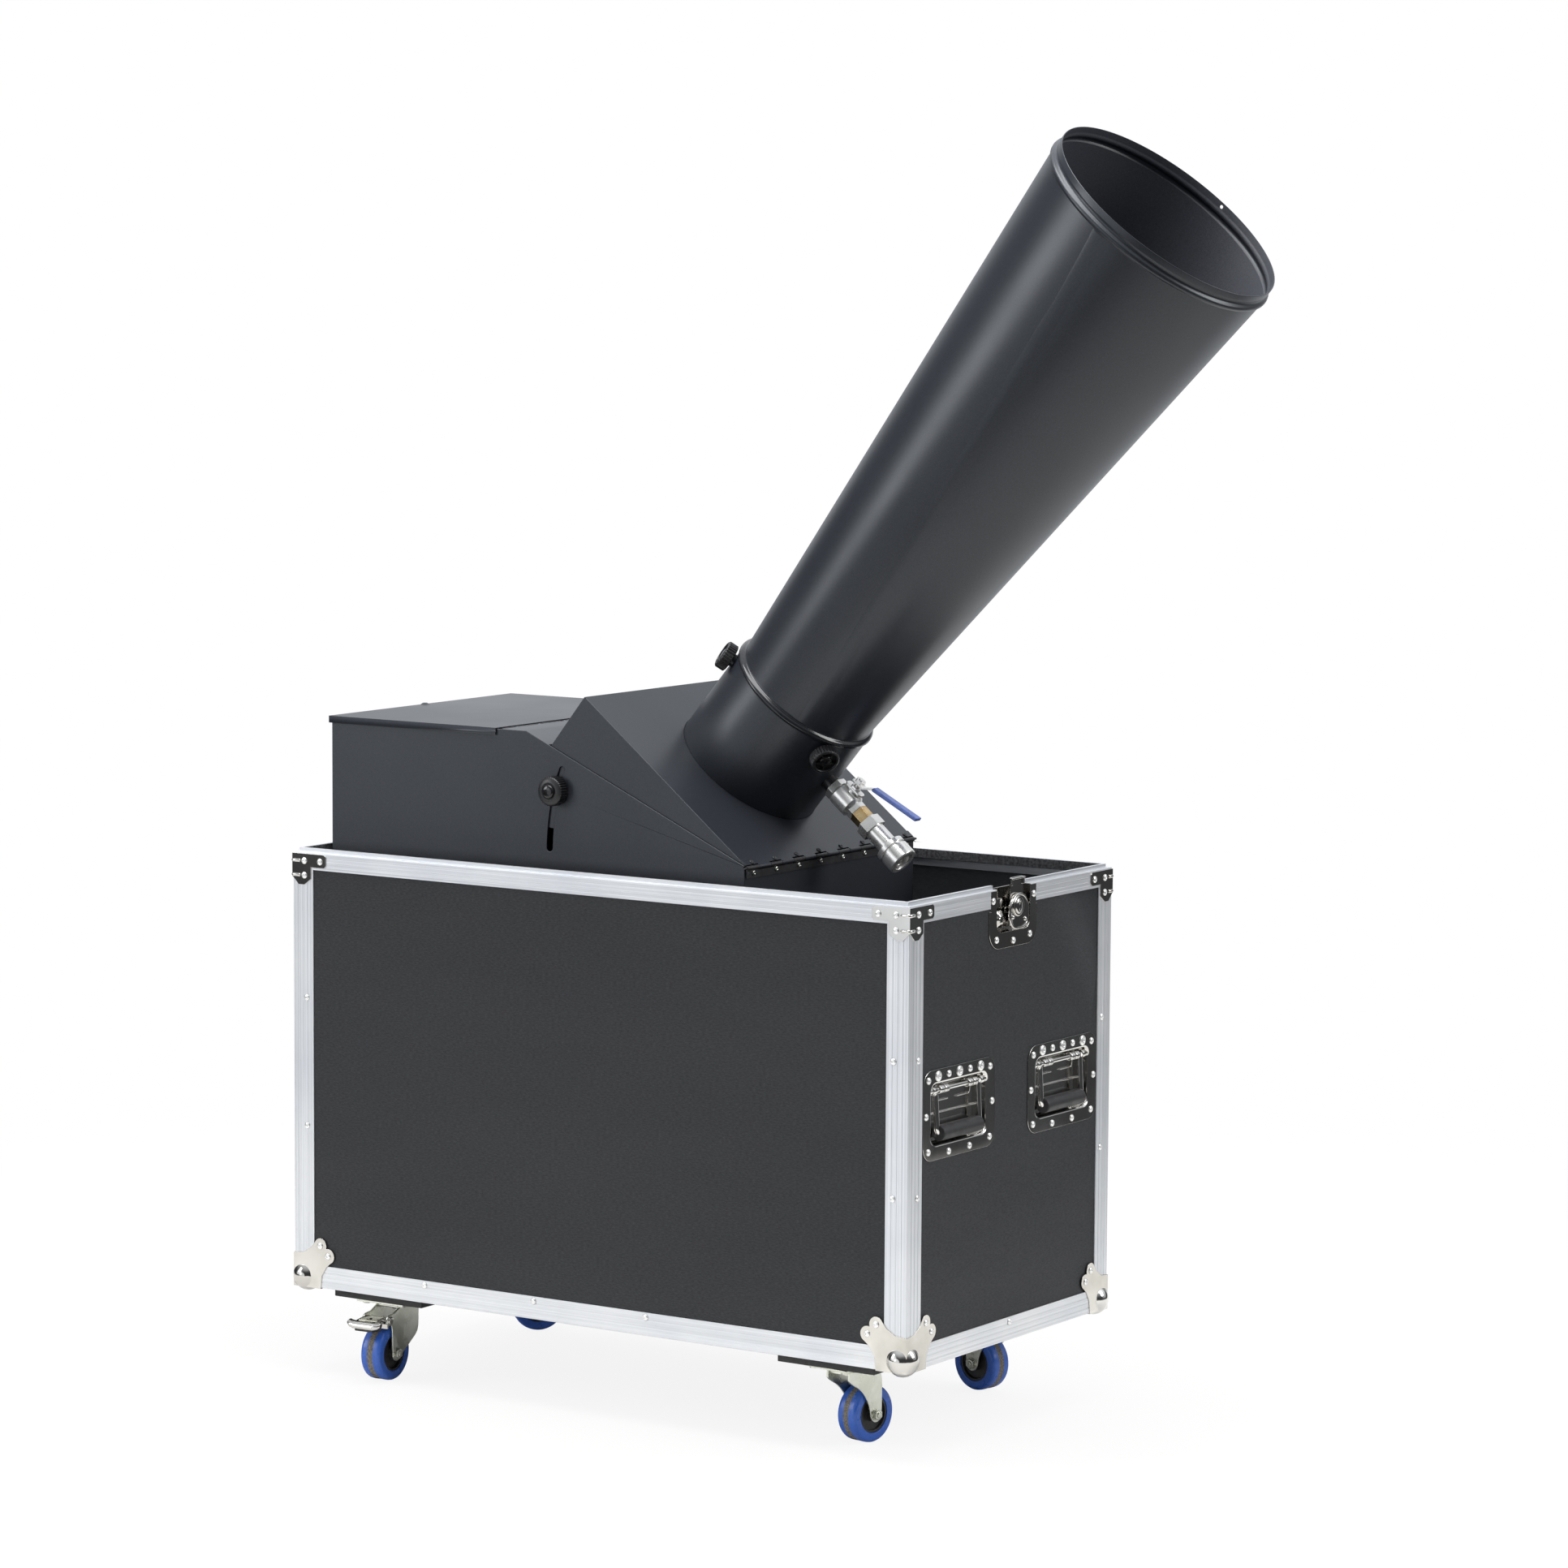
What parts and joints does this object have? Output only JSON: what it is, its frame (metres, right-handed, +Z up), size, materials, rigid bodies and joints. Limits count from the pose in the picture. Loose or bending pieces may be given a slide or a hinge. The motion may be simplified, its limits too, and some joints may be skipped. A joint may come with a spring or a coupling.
{
  "type": "confetti blower",
  "caption": "Gas-driven confetti blower in a wheeled road case: lidded hopper housing, tilting head, removable conical barrel, gas valve and quick coupler.",
  "frame": {"origin": "on the floor, under the centre of the road case's plan outline", "axes": "+X along the case's long side, the way the barrel points; +Y across the case, away from the viewer's long side; +Z up"},
  "size_m": [1.3534, 0.5439, 1.7136],
  "materials": {
    "laminate_panel": "black textured laminate on plywood",
    "aluminium_profile": "anodised satin extrusion",
    "pressed_steel": "bright nickel plate",
    "rivet_steel": "bright zinc plate",
    "foam": "black woven-faced foam",
    "caster_board": "black stained plywood",
    "painted_housing": "black satin powder coat, fine texture",
    "black_hinge": "satin black",
    "black_pipe": "matt black",
    "valve_nickel": "nickel-plated brass",
    "brass_fitting": "bare brass",
    "coupler_steel": "turned steel",
    "lever_steel": "bright zinc plate",
    "lever_grip": "dipped blue vinyl",
    "knob": "black moulded plastic, satin",
    "bail_handle": "black rubber on a plated wire",
    "latch_plate": "zinc-plated pressed steel",
    "caster_zinc": "yellow-grey zinc plate",
    "blue_tread": "blue elastic rubber",
    "wheel_core": "black nylon"
  },
  "bodies": {
    "case": {"side_panels": "laminate_panel", "end_panels": "laminate_panel", "floor_panel": "laminate_panel", "rim_profiles": "aluminium_profile", "corner_angles": "aluminium_profile", "ball_corners": "pressed_steel", "corner_braces": "pressed_steel", "case_rivets": "rivet_steel", "foam_liner": "foam", "handle_dishes": "pressed_steel", "latch_dishes": "pressed_steel", "caster_boards": "caster_board", "caster_plates": "caster_zinc", "housing": "painted_housing", "hopper_chute": "painted_housing", "lid_hinge": "black_hinge", "lower_hinge_leaf": "black_hinge", "lower_leaf_screws": "rivet_steel"},
    "lid": {"hopper_lid": "painted_housing"},
    "head": {"head_shell": "painted_housing", "upper_hinge_leaf": "black_hinge", "upper_leaf_screws": "rivet_steel", "collar": "painted_housing", "gas_pipe": "black_pipe", "valve_body": "valve_nickel", "brass_nipple": "brass_fitting", "coupler_body": "coupler_steel"},
    "release_sleeve": {"coupler_sleeve": "coupler_steel"},
    "gas_lever": {"valve_stem": "lever_steel", "valve_lever": "lever_steel", "lever_sleeve": "lever_grip"},
    "barrel": {"barrel": "painted_housing"},
    "tilt_knob_front": {"tilt_knob_front": "knob"},
    "tilt_knob_back": {"tilt_knob_back": "knob"},
    "collar_knob_a": {"collar_knob_a": "knob"},
    "collar_knob_b": {"collar_knob_b": "knob"},
    "collar_knob_c": {"collar_knob_c": "knob"},
    "handle_right_front": {"handle_right_front": "bail_handle"},
    "handle_right_back": {"handle_right_back": "bail_handle"},
    "handle_left_front": {"handle_left_front": "bail_handle"},
    "handle_left_back": {"handle_left_back": "bail_handle"},
    "latch_hook_right": {"latch_hook_right": "latch_plate"},
    "latch_hook_left": {"latch_hook_left": "latch_plate"},
    "latch_key_right": {"latch_key_right": "latch_plate"},
    "latch_key_left": {"latch_key_left": "latch_plate"},
    "fork_front_left": {"fork_front_left": "caster_zinc"},
    "wheel_front_left": {"tread_front_left": "blue_tread", "core_front_left": "wheel_core"},
    "fork_front_right": {"fork_front_right": "caster_zinc"},
    "wheel_front_right": {"tread_front_right": "blue_tread", "core_front_right": "wheel_core"},
    "fork_rear_right": {"fork_rear_right": "caster_zinc"},
    "wheel_rear_right": {"tread_rear_right": "blue_tread", "core_rear_right": "wheel_core"},
    "fork_rear_left": {"fork_rear_left": "caster_zinc"},
    "wheel_rear_left": {"tread_rear_left": "blue_tread", "core_rear_left": "wheel_core"},
    "brake_pedal_front_left": {"brake_pedal_front_left": "caster_zinc"},
    "brake_pedal_rear_left": {"brake_pedal_rear_left": "caster_zinc"}
  },
  "joints": [
    {"name": "head_tilt", "type": "hinge", "parent": "case", "child": "head", "pos_m": [0.2155, 0, 0.749], "axis": [0, 1, 0], "range_deg": [-14, 5]},
    {"name": "hopper_lid_hinge", "type": "hinge", "parent": "case", "child": "lid", "pos_m": [-0.185, 0, 0.9065], "axis": [0, 1, 0], "range_deg": [0, 100]},
    {"name": "barrel_lift", "type": "slide", "parent": "head", "child": "barrel", "axis": [0.6468, 0, 0.7627], "range_m": [0, 0.15]},
    {"name": "tilt_knob_front_turn", "type": "hinge", "parent": "head", "child": "tilt_knob_front", "pos_m": [-0.08964, -0.207, 0.8319], "axis": [0, -1, 0], "continuous": true},
    {"name": "tilt_knob_back_turn", "type": "hinge", "parent": "head", "child": "tilt_knob_back", "pos_m": [-0.08964, 0.207, 0.8319], "axis": [0, 1, 0], "continuous": true},
    {"name": "collar_knob_a_turn", "type": "hinge", "parent": "head", "child": "collar_knob_a", "pos_m": [0.23262, -0.0507, 0.88609], "axis": [0.6734, -0.4695, -0.5711], "continuous": true},
    {"name": "collar_knob_b_turn", "type": "hinge", "parent": "head", "child": "collar_knob_b", "pos_m": [0.09004, -0.05723, 1.00701], "axis": [-0.6468, -0.5299, 0.5485], "continuous": true},
    {"name": "collar_knob_c_turn", "type": "hinge", "parent": "head", "child": "collar_knob_c", "pos_m": [0.15701, 0.10793, 0.9502], "axis": [-0.0266, 0.9994, 0.0226], "continuous": true},
    {"name": "gas_lever_turn", "type": "hinge", "parent": "head", "child": "gas_lever", "pos_m": [0.23832, 0, 0.82225], "axis": [0.6468, 0, 0.7627], "range_deg": [0, 90]},
    {"name": "release_sleeve_pull", "type": "slide", "parent": "head", "child": "release_sleeve", "axis": [0.7627, 0, -0.6468], "range_m": [-0.004, 0], "stiffness_N_per_m": 1500, "springref_m": 0.004},
    {"name": "handle_right_front_swing", "type": "hinge", "parent": "case", "child": "handle_right_front", "pos_m": [0.495, -0.1305, 0.48], "axis": [0, 1, 0], "range_deg": [-90, 0], "stiffness_Nm_per_rad": 0.25, "springref_deg": 28.65},
    {"name": "handle_right_back_swing", "type": "hinge", "parent": "case", "child": "handle_right_back", "pos_m": [0.495, 0.1305, 0.48], "axis": [0, 1, 0], "range_deg": [-90, 0], "stiffness_Nm_per_rad": 0.25, "springref_deg": 28.65},
    {"name": "handle_left_front_swing", "type": "hinge", "parent": "case", "child": "handle_left_front", "pos_m": [-0.495, -0.1305, 0.48], "axis": [0, 1, 0], "range_deg": [0, 90], "stiffness_Nm_per_rad": 0.25, "springref_deg": -28.65},
    {"name": "handle_left_back_swing", "type": "hinge", "parent": "case", "child": "handle_left_back", "pos_m": [-0.495, 0.1305, 0.48], "axis": [0, 1, 0], "range_deg": [0, 90], "stiffness_Nm_per_rad": 0.25, "springref_deg": -28.65},
    {"name": "latch_key_right_turn", "type": "hinge", "parent": "case", "child": "latch_key_right", "pos_m": [0.5, 0.011, 0.693], "axis": [1, 0, 0], "range_deg": [0, 180]},
    {"name": "latch_hook_right_draw", "type": "slide", "parent": "case", "child": "latch_hook_right", "axis": [0, 0, 1], "range_m": [-0.012, 0]},
    {"name": "latch_key_left_turn", "type": "hinge", "parent": "case", "child": "latch_key_left", "pos_m": [-0.5, 0.011, 0.693], "axis": [1, 0, 0], "range_deg": [0, 180]},
    {"name": "latch_hook_left_draw", "type": "slide", "parent": "case", "child": "latch_hook_left", "axis": [0, 0, 1], "range_m": [-0.012, 0]},
    {"name": "caster_front_left_swivel", "type": "hinge", "parent": "case", "child": "fork_front_left", "pos_m": [-0.37, -0.19, 0.11], "axis": [0, 0, 1], "continuous": true},
    {"name": "caster_front_left_roll", "type": "hinge", "parent": "fork_front_left", "child": "wheel_front_left", "pos_m": [-0.36799, -0.22294, 0.038], "axis": [0.9981, 0.061, 0], "continuous": true},
    {"name": "brake_front_left_press", "type": "hinge", "parent": "fork_front_left", "child": "brake_pedal_front_left", "pos_m": [-0.36695, -0.23991, 0.0865], "axis": [0.9981, 0.061, 0], "range_deg": [0, 20]},
    {"name": "caster_front_right_swivel", "type": "hinge", "parent": "case", "child": "fork_front_right", "pos_m": [0.37, -0.19, 0.11], "axis": [0, 0, 1], "continuous": true},
    {"name": "caster_front_right_roll", "type": "hinge", "parent": "fork_front_right", "child": "wheel_front_right", "pos_m": [0.37573, -0.1575, 0.038], "axis": [-0.9848, 0.1736, 0], "continuous": true},
    {"name": "caster_rear_right_swivel", "type": "hinge", "parent": "case", "child": "fork_rear_right", "pos_m": [0.37, 0.19, 0.11], "axis": [0, 0, 1], "continuous": true},
    {"name": "caster_rear_right_roll", "type": "hinge", "parent": "fork_rear_right", "child": "wheel_rear_right", "pos_m": [0.33772, 0.19686, 0.038], "axis": [-0.2079, -0.9781, 0], "continuous": true},
    {"name": "caster_rear_left_swivel", "type": "hinge", "parent": "case", "child": "fork_rear_left", "pos_m": [-0.37, 0.19, 0.11], "axis": [0, 0, 1], "continuous": true},
    {"name": "caster_rear_left_roll", "type": "hinge", "parent": "fork_rear_left", "child": "wheel_rear_left", "pos_m": [-0.39333, 0.16667, 0.038], "axis": [0.7071, -0.7071, 0], "continuous": true},
    {"name": "brake_rear_left_press", "type": "hinge", "parent": "fork_rear_left", "child": "brake_pedal_rear_left", "pos_m": [-0.40536, 0.15465, 0.0865], "axis": [0.7071, -0.7071, 0], "range_deg": [0, 20]}
  ],
  "couplings": [
    {"joint": "latch_hook_right_draw", "follows": "latch_key_right_turn", "m_per_rad": -0.0038197},
    {"joint": "latch_hook_left_draw", "follows": "latch_key_left_turn", "m_per_rad": -0.0038197}
  ]
}
